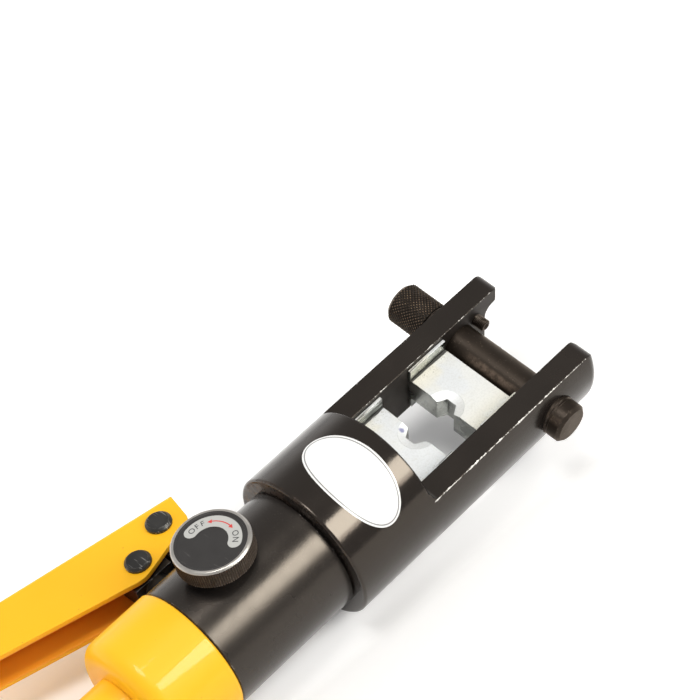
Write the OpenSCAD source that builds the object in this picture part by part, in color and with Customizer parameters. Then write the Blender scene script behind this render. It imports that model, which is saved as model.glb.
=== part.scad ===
// Hydraulic hand crimping tool with a pin-locked fork head, H-section hexagon dies,
// a hand pump worked by a channel lever, a release valve and a bladder handle.
// Millimetres. X runs along the tool to the fork tips, Z is the lever's swing axis, Y is the lever side.
// The origin is the crimp centre: the middle of the fixed die's working face.

/* [Fork head] */
// Outer diameter of the head barrel and of the arms' outer faces
head_d = 75.6; // [70:0.2:84]
// Length of the head barrel behind the rim
head_len = 48.6; // [40:0.2:60]
// Length of the two arms in front of the rim
arm_len = 108.5; // [98:0.5:120]
// Height between the flats of the arms
arm_h = 32.6; // [28:0.2:38]
// Clear width between the arms
fork_gap = 45.6; // [42:0.2:48]
// Radius of the arm tips, seen from the side
arm_tip_r = 6.5; // [2:0.5:8]
// Turned rounding of the outer corners of the arm tips
arm_corner_r = 5; // [3:0.5:8]
// Chamfer on the inner corner of each arm tip
arm_chamfer = 3; // [1:0.5:5]
// Length of the step under the tip of the arm on the lever side
tip_step_len = 10.2; // [6:0.1:14]
// Height of the lip that the step leaves
tip_lip = 9.5; // [8:0.1:14]
// Fillet in the corner of the step
step_fillet = 6; // [2:0.5:8]
// Rounding of the lower edge of the lip
lip_round = 5; // [1:0.5:6]
// Fillet between the arm flats and the rim
rim_fillet = 4; // [2:0.5:8]
// Rounding of the rear edge of the barrel
head_round = 1.4; // [0.6:0.1:6]
// Chamfer on the front rim of the barrel
rim_chamfer = 0.8; // [0.3:0.1:1.5]
// Angle by which the head is screwed round from the pump
head_clocking = 14; // [0:1:90]
// Wall of the head in front of the cylinder
front_wall = 20; // [17:0.5:24]

/* [Dies] */
// Length of each die along the tool
die_len = 23.6; // [20:0.2:28]
// Thickness of the die web
die_web = 14.4; // [11:0.2:18]
// Height of the side cheeks
die_cheek_h = 27.6; // [22:0.2:30]
// Thickness of each side cheek
die_cheek_t = 1.5; // [1:0.1:3]
// Clearance between a die and each arm
die_clearance = 0.25; // [0.15:0.05:0.5]
// Side of the crimp hexagon
hex_side = 5.2; // [3:0.1:7]
// Depth of the relief cone over the hexagon
relief_depth = 1.8; // [0.5:0.1:4]
// Radius of the relief cone where it leaves the web
relief_r = 8.8; // [8:0.1:11]
// Travel of the ram
stroke = 19; // [12:0.5:20]
// Distance the ram's nose stands proud of the rim at rest
nose_proud = 2.4; // [1:0.2:5]

/* [Lock pin] */
// Gap between the fixed die and the lock pin
pin_gap = 0.8; // [0.3:0.1:1.5]
// Diameter of the lock pin
pin_d = 19.6; // [16:0.2:22]
// Diameter of the knurled grip
grip_d = 20.8; // [20:0.2:26]
// Length of the knurled grip
grip_len = 21; // [16:0.5:30]
// Length of pin that stands out of the far arm
pin_tail = 8.5; // [7:0.5:16]
// Chamfer on the pin's ends
pin_chamfer = 1.6; // [0.5:0.1:2.5]
// Width of the groove beside the arm
pin_groove = 1.4; // [0.8:0.1:2]
// Diameter of the stop stud in the arm
stud_d = 6; // [5:0.2:8]
// Wall between the stud's hole and the pin's hole
stud_wall = 1; // [0.8:0.1:4]
// Angle by which the stud sits above the line of the arm, seen from the pin
stud_angle = 23.5; // [0:0.5:40]
// Length of the stud that stands out of the arm
stud_proud = 6.3; // [2:0.1:8]

/* [Pump body] */
// Outer diameter of the body
body_d = 62; // [58:0.2:66]
// Length of the body between the head and the reservoir cap
body_len = 67.9; // [64:0.1:80]
// Diameter of the cylinder bore
bore_d = 42; // [38:0.2:44]
// Diameter of the thread spigots at both ends of the body
spigot_d = 57; // [55:0.2:57]
// Length of the rear spigot inside the reservoir cap
rear_spigot = 10; // [6:0.5:14]
// Length of the solid block that holds the pump and the valves
block_len = 43.5; // [42:0.5:48]
// Distance of the milled lever flat from the axis
flat_y = 26.5; // [25:0.1:28]
// Length of the milled lever flat
flat_len = 50; // [48:0.5:60]
// Chamfer on both edges of the body
body_chamfer = 0.8; // [0.3:0.1:1.5]

/* [Ram] */
// Diameter of the ram rod
rod_d = 30; // [26:0.5:32]
// Length of the piston
piston_len = 16; // [12:0.5:18]
// Wire diameter of the return spring
spring_wire = 2.8; // [2:0.1:3]
// Turns of the return spring
spring_turns = 4; // [3:1:4]
// Diameter of the peg that holds the moving die
peg_d = 10; // [6:0.5:14]
// Length of the peg inside the ram
peg_len = 12; // [8:0.5:16]
// Depth of the peg hole in the die
peg_in_die = 5; // [3:0.5:8]

/* [Release valve] */
// Distance of the valve axis in front of the rear face of the body
valve_ahead = 27.7; // [24:0.1:32]
// Diameter of the knob
knob_d = 36; // [30:0.5:40]
// Diameter of the knob's top face, inside the chamfer
knob_top_d = 34.2; // [28:0.2:38]
// Diameter of the face plate in the knob
knob_plate_d = 30.2; // [24:0.2:32]
// Thickness of the knob
knob_h = 10; // [7:0.5:14]
// Height of the knob's top over the axis
knob_top = 46; // [44:0.5:52]
// Diameter of the valve stem
stem_d = 10; // [8:0.2:11]
// Diameter of the bush that carries the stem
valve_bush_d = 18; // [14:0.5:20]

/* [Hand pump] */
// Distance of the lever pivot in front of the rear face of the body
pivot_ahead = 35.5; // [33:0.1:37]
// Distance of the lever pivot from the tool's axis
pivot_out = 57.5; // [54:0.5:62]
// Distance of the plunger rivet behind the pivot, along the lever
plunger_back = 18.1; // [17.6:0.1:19]
// Distance of the plunger rivet inside the pivot, across the lever
plunger_in = 13.5; // [12.5:0.1:15]
// Diameter of the two rivets
rivet_d = 10; // [8:0.2:11]
// Diameter of the rivet heads
rivet_head_d = 12.6; // [11:0.2:15]
// Height of the rivet heads
rivet_head_h = 2.4; // [1.5:0.1:3]
// Diameter of the pump plunger
plunger_d = 12; // [10:0.2:13]
// Thickness of the bracket and of the plunger's eye
eye_t = 12; // [9:0.5:13]
// Length of the slot in the plunger's eye beyond the rivet
slot_extra = 5; // [4.6:0.1:6]
// Height of the slot in the plunger's eye beyond the rivet
slot_play = 1.4; // [1.2:0.1:2]

/* [Lever] */
// Angle between the lever and the tool's axis at rest
lever_angle = 13; // [13:0.5:16]
// Length of the channel behind the pivot
channel_len = 145; // [120:1:180]
// Length of the channel in front of the pivot
channel_nose = 12; // [10.5:0.5:14]
// Height of the channel
channel_h = 20; // [17.5:0.2:24]
// Thickness of the channel's sheet
channel_t = 2.5; // [2:0.1:3]
// Outer radius of the channel's bends
bend_r = 3; // [2:0.1:4]
// Distance of the channel's back from the pivot
channel_back = 12.2; // [12:0.1:14]
// Depth of the channel's cheeks at the plunger rivet, from the pivot
cheek_front = 23.6; // [22:0.1:25]
// Depth of the channel's cheeks at the rear end, from the pivot
cheek_rear = 11.9; // [11:0.1:14]
// Diameter of the lever tube
lever_tube_d = 22; // [20:0.5:24]
// Length of the lever from the pivot to the end of its grip
lever_len = 345; // [320:1:380]
// Diameter of the lever grip
lever_grip_d = 31; // [28:0.5:34]
// Length of the lever grip
lever_grip_len = 125; // [110:1:140]

/* [Reservoir handle] */
// Outer diameter of the reservoir cap
cap_d = 63; // [62:0.2:66]
// Length of the reservoir cap
cap_len = 37.5; // [34:0.5:46]
// Rounding of the cap's rear edge
cap_round = 8; // [5:0.5:12]
// Diameter of the handle tube
tube_d = 34; // [30:0.5:36]
// Wall of the handle tube
tube_wall = 3; // [2:0.1:4]
// Length from the cap to the end of the handle grip
handle_len = 280; // [250:1:320]
// Diameter of the handle grip
handle_grip_d = 40; // [38:0.5:44]
// Length of the handle grip
handle_grip_len = 140; // [120:1:160]
// Ribs on each grip
grip_ribs = 12; // [6:1:16]
// Depth of the grooves between the grip's ribs
rib_depth = 1.4; // [0.6:0.1:1.6]

/* [Hidden] */
$fn = 96;
// Overlap where two shapes join
eps = 0.01;
// Overshoot of cutting shapes
over = 1;
// Radial clearance of a running fit
running = 0.05;
// Gap between seated pieces of one body
seat = 0.03;
// Gap between pieces that pass each other
pass = 0.3;
// Chamfer on small turned edges
edge = 1;

// Radii
head_r = head_d / 2;
body_r = body_d / 2;
cap_r = cap_d / 2;
spigot_r = spigot_d / 2;
bore_r = bore_d / 2;
rod_r = rod_d / 2;
peg_r = peg_d / 2;
pin_r = pin_d / 2;
grip_r = grip_d / 2;
stud_r = stud_d / 2;
stem_r = stem_d / 2;
valve_bush_r = valve_bush_d / 2;
knob_r = knob_d / 2;
knob_top_r = knob_top_d / 2;
knob_plate_r = knob_plate_d / 2;
rivet_r = rivet_d / 2;
rivet_head_r = rivet_head_d / 2;
plunger_r = plunger_d / 2;
lever_tube_r = lever_tube_d / 2;
tube_r = tube_d / 2;

// Stations along the tool
rim_x = -(stroke + die_len + nose_proud);
tip_x = rim_x + arm_len;
arm_back_x = rim_x - rim_chamfer - over;
head_rear_x = rim_x - head_len;
cylinder_front_x = rim_x - front_wall;
body_rear_x = head_rear_x - body_len;
spigot_rear_x = body_rear_x - rear_spigot;
block_front_x = body_rear_x + block_len;
cap_rear_x = body_rear_x - cap_len;
handle_end_x = cap_rear_x - handle_len;
nose_x = rim_x + nose_proud;
pin_x = die_len + pin_gap + pin_r;
valve_x = body_rear_x + valve_ahead;
pivot_x = body_rear_x + pivot_ahead;

// Head
arm_inner = fork_gap / 2;
bush_wall = 3;
bush_r = rod_r + bush_wall;
wiper_w = 3;
// Share of the arm that the stop stud is screwed into
stud_share = 0.6;
stud_end_y = arm_inner + (head_r - arm_inner) * stud_share;
stud_pitch = pin_r + running + stud_wall + stud_r + seat;
stud_x = pin_x + stud_pitch * cos(stud_angle);
stud_z = stud_pitch * sin(stud_angle);
die_w = fork_gap - 2 * die_clearance;

// Cylinder, seals and ram
seal_w = 2.5;
seal_wall = 1;
spigot_front_x = cylinder_front_x - seal_w;
groove_depth = 2;
piston_heel = 6;
piston_x = block_front_x + pass;
piston_front_x = piston_x + piston_len;
piston_seal_x = piston_x + piston_heel;
piston_seal_w = 4;
spring_r = (rod_r + bore_r) / 2;

// Valves
drill_r = 1.5;
check_ball_r = 3;
relief_ball_r = 2.5;
pocket_play = 1;
pocket_r = check_ball_r + pocket_play;
seat_plug = 3;
suction_depth = 9;
delivery_depth = 16;
valve_line_y = -2;
relief_bore_r = 4;
relief_seat_z = -8;
relief_screw_len = 7;
relief_screw_z = edge - body_r;
hex_key_r = 2.5;
release_seat_z = 9;
valve_bush_depth = 8;
valve_wire = 0.8;
valve_turns = 4;
stem_point = 2;
plate_t = 0.8;
plate_sink = 0.2;
knob_base = knob_top - knob_h;
// Height of a ball's centre over the rim of the hole that it closes
function ball_on(hole_r, ball_r) = sqrt(ball_r * ball_r - hole_r * hole_r) + seat;
suction_ball_x = spigot_rear_x + seat_plug + ball_on(drill_r, check_ball_r);
delivery_ball_x = block_front_x - delivery_depth + ball_on(drill_r, check_ball_r);
relief_ball_z = relief_seat_z - ball_on(drill_r, relief_ball_r);
release_ball_z = release_seat_z + ball_on(drill_r, check_ball_r);

// Hand pump
eye_x = pivot_x - plunger_back * cos(lever_angle) - plunger_in * sin(lever_angle);
eye_y = pivot_out + plunger_back * sin(lever_angle) - plunger_in * cos(lever_angle);
eye_wall = 3;
slot_half_l = rivet_r + slot_extra / 2;
slot_half_h = rivet_r + slot_play / 2;
gland_wall = 4;
gland_r = plunger_r + gland_wall;
gland_flange = 1;
gland_hex_r = gland_r + gland_flange;
gland_depth = 14;
gland_head = 3;
gland_end_y = flat_y - gland_depth;
gland_seal_y = flat_y - gland_depth / 2;
chamber_end_y = -8;
plunger_tip_y = 0;
bracket_r = 8.5;
bracket_foot = [2 * bracket_r, 5, 26];

// Lever
channel_gap = channel_h - 2 * channel_t;
bend_inner_r = max(bend_r - channel_t, running);
nose_corner_r = 1;
nose_cut_r = 4;
cheek_front_r = 14;
cheek_rear_r = 4;
channel_rear_r = 2;
tongue_len = 35;
tongue_y = (channel_t - channel_back + cheek_rear) / 2;
tongue_back_y = max(tongue_y - lever_tube_r, channel_t - channel_back) + seat;
lever_wall = 2.5;
grip_end_wall = 4;

// Handle
cavity_wall = 2.5;
cap_spigot_r = tube_r - tube_wall - seat;
cap_spigot_len = 14;
neck_wall = 3;
neck_bore_r = cap_spigot_r - neck_wall;
bladder_play = 0.5;
bladder_r = neck_bore_r - bladder_play;
bladder_wall = 2;
bladder_rim = 3;
bladder_flange_r = spigot_r - bladder_rim;
bladder_flange_t = 3;
bladder_front_x = spigot_rear_x - bladder_play;
bladder_end_x = handle_end_x + handle_grip_len;
handle_end_wall = 5;
tube_end_x = handle_end_x + handle_end_wall;
plug_len = 14;
grip_round = 6;
grip_collar = 8;

// Cylinders along the three axes, given by their two ends
module x_cyl(x0, x1, r, y = 0, z = 0) {
    translate([x0, y, z]) rotate([0, 90, 0]) cylinder(h = x1 - x0, r = r);
}
module y_cyl(x, y0, y1, r, z = 0) {
    translate([x, y0, z]) rotate([-90, 0, 0]) cylinder(h = y1 - y0, r = r);
}
module z_cyl(x, z0, z1, r, y = 0) {
    translate([x, y, z0]) cylinder(h = z1 - z0, r = r);
}
// Turned shapes about the X axis and about the pin's axis; outlines are given as [radius, length]
module x_turned() {
    rotate([0, 90, 0]) rotate_extrude() children();
}
module pin_turned() {
    translate([pin_x, 0, 0]) rotate([-90, 0, 0]) rotate_extrude() children();
}
module x_ring(x0, x1, r_in, r_out) {
    x_turned() translate([r_in, x0]) square([r_out - r_in, x1 - x0]);
}
// Half outline of a bar from x0 to x1, with the edge at x1 rounded; it may run either way
module bar_half(x0, x1, r, round_r) {
    centre_x = x1 - sign(x1 - x0) * round_r;
    translate([0, min(x0, x1)]) square([r - round_r, abs(x1 - x0)]);
    translate([0, min(x0, centre_x)]) square([r, abs(centre_x - x0)]);
    translate([r - round_r, centre_x]) circle(round_r);
}
// Square cutter that leaves a chamfer on the edge of a half outline
module edge_cut(r, x, size) {
    translate([r, x]) rotate(45) square(size * sqrt(2), center = true);
}
// Everything on the head is turned with it
module on_head() {
    rotate([head_clocking, 0, 0]) children();
}
// Lever space: X runs back along the lever from its pivot, Y points in to the body
module on_lever() {
    translate([pivot_x, pivot_out, 0]) rotate([0, 0, 180 - lever_angle]) children();
}

// Outline with rounded corners: each point is [x, y, radius]
function unit(v) = v / norm(v);
function corner_arc(a, b, c, steps) =
    let (to_a = unit([a[0] - b[0], a[1] - b[1]]), to_c = unit([c[0] - b[0], c[1] - b[1]]))
    let (half = acos(to_a * to_c) / 2, r = b[2], corner = [b[0], b[1]])
    let (centre = corner + unit(to_a + to_c) * r / sin(half))
    let (first = corner + to_a * r / tan(half) - centre, last = corner + to_c * r / tan(half) - centre)
    let (sweep = 180 - 2 * half, turn = sign(first[0] * last[1] - first[1] * last[0]))
    [for (i = [0:steps]) let (t = turn * sweep * i / steps)
        centre + [first[0] * cos(t) - first[1] * sin(t), first[0] * sin(t) + first[1] * cos(t)]];
function rounded(pts, steps = 8) =
    let (n = len(pts))
    [for (i = [0:n - 1]) each corner_arc(pts[(i + n - 1) % n], pts[i], pts[(i + 1) % n], steps)];

// Helical wire along Z from z0 to z1, as one unbroken tube
curl_rings = 8;
wire_sides = 6;
function coil_point(t, z0, z1, turns, r) =
    [r * cos(360 * turns * t), r * sin(360 * turns * t), z0 + (z1 - z0) * t];
function coil_gap(z0, z1, turns, r, wire) =
    let (n = turns * curl_rings)
    min([for (i = [0:n], j = [0:n]) if (j - i >= curl_rings / 2)
        norm(coil_point(i / n, z0, z1, turns, r) - coil_point(j / n, z0, z1, turns, r))]) - wire;
module coil(z0, z1, turns, r, wire) {
    n = turns * curl_rings;
    w = wire / 2;
    rings = [for (i = [0:n], k = [0:wire_sides - 1])
        let (a = 360 * turns * i / n, b = 360 * k / wire_sides)
        coil_point(i / n, z0 + w, z1 - w, turns, r)
            + w * cos(b) * [cos(a), sin(a), 0] + [0, 0, w * sin(b)]];
    start = [[for (k = [0:wire_sides - 1]) k]];
    finish = [[for (k = [wire_sides - 1:-1:0]) n * wire_sides + k]];
    sides = [for (i = [0:n - 1], k = [0:wire_sides - 1], half = [0, 1])
        let (a = i * wire_sides + k, b = i * wire_sides + (k + 1) % wire_sides)
        half == 0 ? [a, a + wire_sides, b] : [b, a + wire_sides, b + wire_sides]];
    polyhedron(rings, concat(start, sides, finish));
}

// Fork head: barrel, two arms cut from the same round, and their flats
module arm_side() {
    flat = arm_h / 2;
    translate([arm_back_x, -flat]) square([tip_x - arm_tip_r - arm_back_x, arm_h]);
    translate([rim_x, arm_tip_r - flat]) square([arm_len, arm_h - 2 * arm_tip_r]);
    for (s = [-1, 1]) {
        translate([tip_x - arm_tip_r, s * (flat - arm_tip_r)]) circle(arm_tip_r);
        scale([1, s]) difference() {
            translate([arm_back_x, flat - eps]) square([rim_x + rim_fillet - arm_back_x, rim_fillet]);
            translate([rim_x + rim_fillet, flat + rim_fillet]) circle(rim_fillet);
        }
    }
}
module arm_plan() {
    polygon([
        [arm_back_x, arm_inner], [tip_x - arm_chamfer, arm_inner], [tip_x, arm_inner + arm_chamfer],
        [tip_x, head_d], [arm_back_x, head_d]
    ]);
}
module arm() {
    intersection() {
        x_turned() bar_half(arm_back_x, tip_x, head_r, arm_corner_r);
        rotate([90, 0, 0]) linear_extrude(2 * head_d, center = true) arm_side();
        linear_extrude(2 * head_d, center = true) arm_plan();
    }
}
// Cutter for the step under the tip of the arm on the lever side
module tip_step() {
    step_x = tip_x - tip_step_len;
    lip_z = arm_h / 2 - tip_lip;
    translate([0, head_d, 0]) rotate([90, 0, 0]) linear_extrude(head_d) {
        difference() {
            translate([step_x, lip_z - arm_h]) square(arm_h);
            translate([step_x - eps, lip_z - step_fillet]) square([step_fillet + eps, step_fillet + eps]);
        }
        translate([step_x + step_fillet, lip_z - step_fillet]) circle(step_fillet);
        difference() {
            translate([tip_x - lip_round, lip_z - eps]) square([lip_round + over, lip_round + eps]);
            translate([tip_x - lip_round, lip_z + lip_round]) circle(lip_round);
        }
    }
}
module head_fork() {
    color("#17171a") on_head() difference() {
        union() {
            x_turned() difference() {
                bar_half(rim_x, head_rear_x, head_r, head_round);
                edge_cut(head_r, rim_x, rim_chamfer);
            }
            arm();
            mirror([0, 1, 0]) arm();
        }
        x_cyl(head_rear_x - over, cylinder_front_x, spigot_r + seat);
        x_cyl(cylinder_front_x - over, rim_x + over, bush_r + seat);
        y_cyl(pin_x, -head_d, head_d, pin_r + running);
        y_cyl(stud_x, 0, stud_end_y, stud_r + seat, stud_z);
        tip_step();
    }
}
module front_bush() {
    color("#b08a45") x_ring(cylinder_front_x, rim_x - wiper_w, rod_r + running, bush_r);
}
module rod_wiper() {
    color("#202020") x_ring(rim_x - wiper_w + seat, rim_x - seat, rod_r + running, bush_r);
}

// Dies: H-section blocks with half a hexagon and a shallow relief cone on the upper side
module die_block(x0) {
    translate([x0, -die_w / 2, -die_web / 2]) cube([die_len, die_w, die_web]);
    for (s = [0, 1]) mirror([0, s, 0])
        translate([x0, die_w / 2 - die_cheek_t, -die_cheek_h / 2]) cube([die_len, die_cheek_t, die_cheek_h]);
}
module hex_cut(face_x) {
    translate([face_x, 0, 0]) rotate([0, 0, 90]) {
        cylinder(h = die_web + over, r = hex_side, center = true, $fn = 6);
        translate([0, 0, die_web / 2 - relief_depth])
            cylinder(h = relief_depth + eps, r1 = hex_side * cos(30), r2 = relief_r);
    }
}
module upper_die() {
    color("#c9ccd0") on_head() difference() {
        die_block(0);
        hex_cut(0);
    }
}
module lower_die() {
    color("#c9ccd0") on_head() difference() {
        die_block(nose_x);
        hex_cut(nose_x + die_len);
        x_cyl(nose_x - over, nose_x + peg_in_die, peg_r + seat);
    }
}
module stop_stud() {
    color("#1d1b1a") on_head() y_cyl(stud_x, arm_inner - stud_proud, stud_end_y - seat, stud_r, stud_z);
}

// Lock pin across the arms, with its knurled grip on the lever side
module lock_pin() {
    y0 = -head_r - pin_tail;
    y1 = head_r + pass;
    groove_y = -head_r - pass;
    groove_r = pin_r - pin_groove / 2;
    color("#2b211b") on_head() pin_turned() polygon([
        [0, y0], [pin_r - pin_chamfer, y0], [pin_r, y0 + pin_chamfer],
        [pin_r, groove_y - pin_groove], [groove_r, groove_y - pin_groove],
        [groove_r, groove_y], [pin_r, groove_y], [pin_r, y1], [0, y1]
    ]);
}
module pin_grip() {
    y0 = head_r + pass;
    y1 = y0 + grip_len;
    color("#241d19") on_head() pin_turned() polygon([
        [0, y0], [grip_r - pin_chamfer / 2, y0], [grip_r, y0 + pin_chamfer / 2],
        [grip_r, y1 - pin_chamfer], [grip_r - pin_chamfer, y1], [0, y1]
    ]);
}

// Cylinder body: ram cylinder in front, pump and valve block behind
module cylinder_body() {
    color("#1d1d1f") difference() {
        x_turned() polygon([
            [0, spigot_rear_x], [spigot_r, spigot_rear_x], [spigot_r, body_rear_x],
            [body_r - body_chamfer, body_rear_x], [body_r, body_rear_x + body_chamfer],
            [body_r, head_rear_x - body_chamfer], [body_r - body_chamfer, head_rear_x],
            [spigot_r, head_rear_x], [spigot_r, spigot_front_x], [0, spigot_front_x]
        ]);
        x_cyl(block_front_x, spigot_front_x + over, bore_r);
        translate([body_rear_x - eps, flat_y, -body_r]) cube([flat_len, body_r, body_d]);
        y_cyl(eye_x, gland_end_y, body_r, gland_r + seat);
        y_cyl(eye_x, chamber_end_y, flat_y, plunger_r + pass);
        x_cyl(spigot_rear_x - over, block_front_x + over, drill_r, valve_line_y);
        x_cyl(spigot_rear_x - over, spigot_rear_x + suction_depth, pocket_r, valve_line_y);
        x_cyl(block_front_x - delivery_depth, block_front_x + over, pocket_r, valve_line_y);
        z_cyl(valve_x, relief_seat_z - over, release_seat_z + over, drill_r);
        z_cyl(valve_x, release_seat_z, body_d, stem_r + running);
        z_cyl(valve_x, body_r - valve_bush_depth, body_d, valve_bush_r + seat);
        z_cyl(valve_x, -body_d, relief_seat_z, relief_bore_r + seat);
    }
}
module body_seal() {
    color("#202020") x_ring(spigot_front_x, cylinder_front_x, bore_r + seal_wall, spigot_r);
}

// Hand pump
module pivot_bracket() {
    color("#232325") difference() {
        union() {
            translate([pivot_x - bracket_foot[0] / 2, flat_y, -bracket_foot[2] / 2]) cube(bracket_foot);
            translate([pivot_x - bracket_r, flat_y, -eye_t / 2])
                cube([2 * bracket_r, pivot_out - flat_y, eye_t]);
            z_cyl(pivot_x, -eye_t / 2, eye_t / 2, bracket_r, pivot_out);
        }
        z_cyl(pivot_x, -eye_t, eye_t, rivet_r + running, pivot_out);
    }
}
module pump_gland() {
    y0 = gland_end_y + seat;
    y1 = flat_y + gland_head;
    color("#6d6f72") difference() {
        union() {
            y_cyl(eye_x, y0, y1, gland_r);
            translate([eye_x, flat_y, 0]) rotate([-90, 0, 0])
                cylinder(h = gland_head, r = gland_hex_r, $fn = 6);
        }
        y_cyl(eye_x, y0 - over, y1 + over, plunger_r + running);
        y_cyl(eye_x, gland_seal_y - seal_w / 2, gland_seal_y + seal_w / 2, plunger_r + groove_depth);
    }
}
module plunger_seal() {
    half_w = seal_w / 2 - seat;
    color("#202020") difference() {
        y_cyl(eye_x, gland_seal_y - half_w, gland_seal_y + half_w, plunger_r + groove_depth - seat);
        y_cyl(eye_x, gland_seal_y - seal_w, gland_seal_y + seal_w, plunger_r + running);
    }
}
module pump_plunger() {
    run = slot_half_l - slot_half_h;
    color("#8d9094") difference() {
        union() {
            y_cyl(eye_x, plunger_tip_y, eye_y, plunger_r);
            translate([eye_x - slot_half_l - eye_wall, eye_y - slot_half_h - eye_wall, -eye_t / 2])
                cube([2 * (slot_half_l + eye_wall), 2 * (slot_half_h + eye_wall), eye_t]);
        }
        for (s = [-1, 1]) z_cyl(eye_x + s * run, -eye_t, eye_t, slot_half_h, eye_y);
        translate([eye_x - run, eye_y - slot_half_h, -eye_t]) cube([2 * run, 2 * slot_half_h, 2 * eye_t]);
    }
}

// Check valves, relief valve and release valve inside the block
module bored_plug(x0) {
    color("#b08a45") difference() {
        x_cyl(x0, x0 + seat_plug, pocket_r - seat, valve_line_y);
        x_cyl(x0 - over, x0 + seat_plug + over, drill_r, valve_line_y);
    }
}
module suction_seat() {
    bored_plug(spigot_rear_x);
}
module delivery_plug() {
    bored_plug(block_front_x - seat_plug);
}
module suction_ball() {
    color("silver") translate([suction_ball_x, valve_line_y, 0]) sphere(check_ball_r);
}
module delivery_ball() {
    color("silver") translate([delivery_ball_x, valve_line_y, 0]) sphere(check_ball_r);
}
module delivery_spring() {
    x0 = delivery_ball_x + check_ball_r + seat;
    x1 = block_front_x - seat_plug - seat;
    color("#777b80") translate([0, valve_line_y, 0]) rotate([0, 90, 0])
        coil(x0, x1, valve_turns, pocket_r - 2 * valve_wire, valve_wire);
}
module relief_ball() {
    color("silver") translate([valve_x, 0, relief_ball_z]) sphere(relief_ball_r);
}
module relief_spring() {
    z0 = relief_screw_z + relief_screw_len + seat;
    z1 = relief_ball_z - relief_ball_r - seat;
    color("#777b80") translate([valve_x, 0, 0])
        coil(z0, z1, valve_turns, relief_bore_r - 2 * valve_wire, valve_wire);
}
module relief_screw() {
    color("#2a2a2c") difference() {
        z_cyl(valve_x, relief_screw_z, relief_screw_z + relief_screw_len, relief_bore_r);
        translate([valve_x, 0, relief_screw_z - over])
            cylinder(h = over + relief_screw_len / 2, r = hex_key_r, $fn = 6);
    }
}
module release_ball() {
    color("silver") translate([valve_x, 0, release_ball_z]) sphere(check_ball_r);
}
module valve_bush() {
    color("#3a3a3c") difference() {
        z_cyl(valve_x, body_r - valve_bush_depth + seat, knob_base - pass, valve_bush_r);
        z_cyl(valve_x, 0, knob_top, stem_r + running);
    }
}
module valve_stem() {
    z0 = release_ball_z + check_ball_r + pass;
    color("#8d9094") translate([valve_x, 0, 0]) rotate_extrude() polygon([
        [0, z0], [stem_r - stem_point, z0], [stem_r, z0 + stem_point], [stem_r, knob_base], [0, knob_base]
    ]);
}
module valve_knob() {
    bevel = knob_r - knob_top_r;
    color("#2c2a28") translate([valve_x, 0, 0]) rotate_extrude() polygon([
        [0, knob_base], [knob_r - bevel, knob_base], [knob_r, knob_base + bevel],
        [knob_r, knob_top - bevel], [knob_top_r, knob_top], [knob_plate_r, knob_top],
        [knob_plate_r, knob_top - plate_t], [0, knob_top - plate_t]
    ]);
}
module knob_plate() {
    color("#141414") z_cyl(valve_x, knob_top - plate_t, knob_top - plate_sink, knob_plate_r - seat);
}

// Ram
module ram_piston() {
    skirt_r = bore_r - running;
    groove_r = bore_r - groove_depth;
    color("#9a9da1") difference() {
        x_turned() polygon([
            [0, piston_x], [skirt_r - edge, piston_x], [skirt_r, piston_x + edge],
            [skirt_r, piston_seal_x], [groove_r, piston_seal_x],
            [groove_r, piston_seal_x + piston_seal_w], [skirt_r, piston_seal_x + piston_seal_w],
            [skirt_r, piston_front_x], [rod_r, piston_front_x],
            [rod_r, nose_x - edge], [rod_r - edge, nose_x], [0, nose_x]
        ]);
        x_cyl(nose_x - peg_len, nose_x + over, peg_r + seat);
    }
}
module piston_seal() {
    x0 = piston_seal_x + seat;
    x1 = piston_seal_x + piston_seal_w - seat;
    color("#202020") x_ring(x0, x1, bore_r - groove_depth + seat, bore_r - running);
}
module return_spring() {
    color("#6d6f72") rotate([0, 90, 0])
        coil(piston_front_x + seat, cylinder_front_x - seat, spring_turns, spring_r, spring_wire);
}
module die_peg() {
    color("#6d6f72") x_cyl(nose_x - peg_len + seat, nose_x + peg_in_die - seat, peg_r);
}

// Lever: pressed channel, tube with a flattened front, and grip
module channel_outline() {
    polygon(rounded([
        [-channel_nose, -channel_back, nose_corner_r],
        [channel_len, -channel_back, channel_rear_r],
        [channel_len, cheek_rear, cheek_rear_r],
        [plunger_back + channel_rear_r, cheek_front, cheek_front_r],
        [-channel_nose, plunger_in / 2, nose_cut_r]
    ]));
}
// Bar along the lever with the channel's bends, inset from the outer face
module channel_bar(inset, r) {
    back = inset - channel_back;
    half = channel_h / 2 - inset;
    depth = channel_back + 2 * cheek_front;
    translate([-2 * channel_nose, 0, 0]) rotate([90, 0, 90])
        linear_extrude(channel_len + 4 * channel_nose) {
            translate([back + r, -half]) square([depth, 2 * half]);
            translate([back, r - half]) square([depth, 2 * (half - r)]);
            for (s = [-1, 1]) translate([back + r, s * (half - r)]) circle(r);
        }
}
module lever_channel() {
    color("#f0a818") on_lever() difference() {
        intersection() {
            linear_extrude(channel_h, center = true) channel_outline();
            channel_bar(0, bend_r);
        }
        channel_bar(channel_t, bend_inner_r);
        z_cyl(0, -channel_h, channel_h, rivet_r + seat);
        z_cyl(plunger_back, -channel_h, channel_h, rivet_r + seat, plunger_in);
    }
}
module lever_tube() {
    tongue_x = channel_len - tongue_len;
    tongue_h = channel_gap - 2 * seat;
    color("#f0a818") on_lever() {
        translate([0, tongue_y, 0])
            x_ring(channel_len + seat, lever_len - grip_end_wall, lever_tube_r - lever_wall, lever_tube_r);
        intersection() {
            x_cyl(tongue_x, channel_len + over, lever_tube_r, tongue_y);
            translate([tongue_x, tongue_back_y, -tongue_h / 2])
                cube([tongue_len + over, lever_tube_d, tongue_h]);
        }
    }
}
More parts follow.
